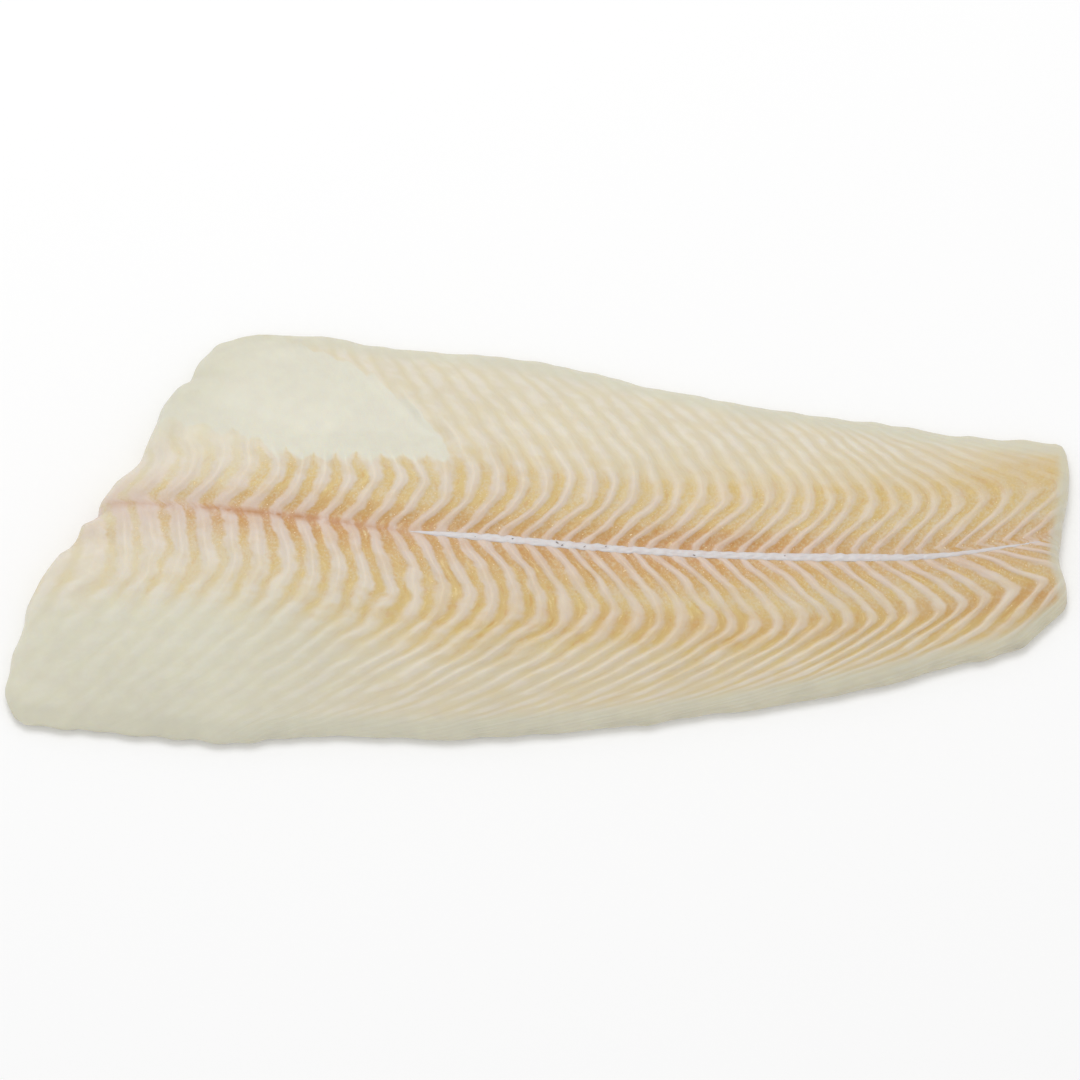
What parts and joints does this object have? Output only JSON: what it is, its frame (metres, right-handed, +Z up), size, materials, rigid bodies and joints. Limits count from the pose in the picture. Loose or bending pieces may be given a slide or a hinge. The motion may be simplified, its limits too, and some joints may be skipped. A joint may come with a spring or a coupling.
{
  "type": "greenland halibut fillet",
  "caption": "Raw skinless whole-side flatfish fillet, lying flat, with W-shaped muscle bands as low ridges and a slanting head cut.",
  "frame": {"origin": "centre of the bounding box on the flat underside", "axes": "+X towards the tail end, +Y towards the belly edge, +Z up out of the inner face"},
  "size_m": [0.3788, 0.1574, 0.0209],
  "materials": {
    "raw_flesh": "moist raw fish flesh, cream with amber bands, satin wet sheen"
  },
  "bodies": {
    "root": {"fillet": "raw_flesh"}
  },
  "joints": []
}
